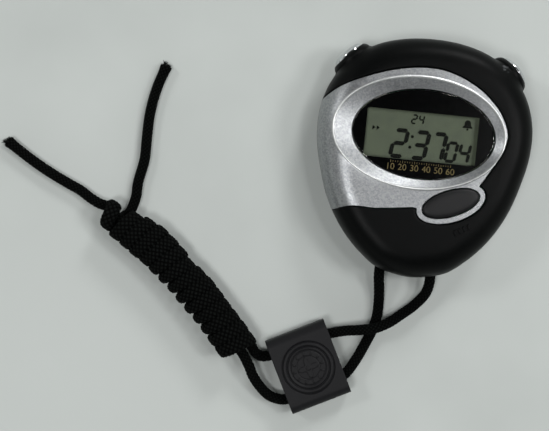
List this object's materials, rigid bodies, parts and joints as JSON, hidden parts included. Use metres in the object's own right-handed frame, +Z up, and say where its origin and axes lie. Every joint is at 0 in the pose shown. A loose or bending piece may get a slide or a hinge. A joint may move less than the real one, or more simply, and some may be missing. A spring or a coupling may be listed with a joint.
{
  "type": "digital stopwatch",
  "caption": "Digital hand stopwatch with an oval display, chrome top buttons and a knotted neck cord with a flat cord slider.",
  "frame": {"origin": "under the middle of the case, on the surface that the watch lies on, back down", "axes": "+X to the right of the display, +Y towards twelve o'clock between the top buttons, +Z up out of the display"},
  "size_m": [0.1652, 0.1212, 0.0198],
  "materials": {
    "black_abs": "satin moulded ABS",
    "silver_paint": "satin metallic silver paint on a moulded skin",
    "clear_acrylic": "clear polished acrylic",
    "black_print": "black print",
    "lcd_glass": "polarising film",
    "lcd_green": "grey-green liquid-crystal glass",
    "steel": "bright steel",
    "frame_nylon": "natural nylon",
    "elastomer": "layered conductive rubber",
    "board_green": "solder mask on glass-fibre board",
    "epoxy": "black epoxy",
    "brass": "plain brass",
    "chrome": "polished chrome plating",
    "rubber": "matt black rubber",
    "slider_plastic": "matt black soft plastic",
    "polyester_cord": "braided black polyester"
  },
  "bodies": {
    "watch": {"battery": "steel", "battery_contact_minus": "steel", "battery_contact_plus": "steel", "board_screw_1": "steel", "board_screw_2": "steel", "board_screw_3": "steel", "buzzer_disc": "brass", "buzzer_spring": "steel", "case_screw_1": "steel", "case_screw_2": "steel", "case_screw_3": "steel", "case_screw_4": "steel", "chip_blob": "epoxy", "chip_capacitor_1": "frame_nylon", "chip_capacitor_2": "frame_nylon", "circuit_board": "board_green", "display_mask": "black_print", "front_housing": "black_abs", "front_polariser": "lcd_glass", "lanyard_bight": "polyester_cord", "lanyard_end_turn": "polyester_cord", "lanyard_left_tail": "polyester_cord", "lanyard_right_tail": "polyester_cord", "lanyard_strand_a": "polyester_cord", "lanyard_strand_b": "polyester_cord", "lanyard_winding": "polyester_cord", "lcd_frame": "frame_nylon", "lcd_glass": "lcd_green", "lcd_reflector": "steel", "left_button_spring": "steel", "left_switch_leaf": "brass", "lens": "clear_acrylic", "lower_zebra_strip": "elastomer", "mode_button_pad": "rubber", "quartz_crystal": "steel", "rear_housing": "black_abs", "right_button_spring": "steel", "right_switch_leaf": "brass", "silver_face_plate": "silver_paint", "upper_zebra_strip": "elastomer"},
    "left_button": {"left_button_cap": "chrome", "left_button_stem": "brass", "left_button_clip": "steel"},
    "right_button": {"right_button_cap": "chrome", "right_button_stem": "brass", "right_button_clip": "steel"},
    "mode_button": {"mode_button": "rubber"},
    "battery_door": {"battery_door": "black_abs"},
    "cord_slider": {"cord_slider": "slider_plastic"}
  },
  "joints": [
    {"name": "left_button_press", "type": "slide", "parent": "watch", "child": "left_button", "axis": [0.7071, -0.7071, 0], "range_m": [0, 0.0012], "stiffness_N_per_m": 800, "springref_m": -0.001, "deforming": ["left_button_spring", "left_switch_leaf"]},
    {"name": "right_button_press", "type": "slide", "parent": "watch", "child": "right_button", "axis": [-0.7071, -0.7071, 0], "range_m": [0, 0.0012], "stiffness_N_per_m": 800, "springref_m": -0.001, "deforming": ["right_button_spring", "right_switch_leaf"]},
    {"name": "mode_button_press", "type": "slide", "parent": "watch", "child": "mode_button", "axis": [0, 0, -1], "range_m": [0, 0.0008], "stiffness_N_per_m": 500, "springref_m": -0.0006, "deforming": ["mode_button_pad"]},
    {"name": "battery_door_turn", "type": "hinge", "parent": "watch", "child": "battery_door", "pos_m": [-0.004, -0.011, 0], "axis": [0, 0, -1], "range_deg": [0, 50]},
    {"name": "cord_slider_slide", "type": "slide", "parent": "watch", "child": "cord_slider", "axis": [0.8918, 0.4524, 0], "range_m": [-0.0015, 0.0015]}
  ]
}
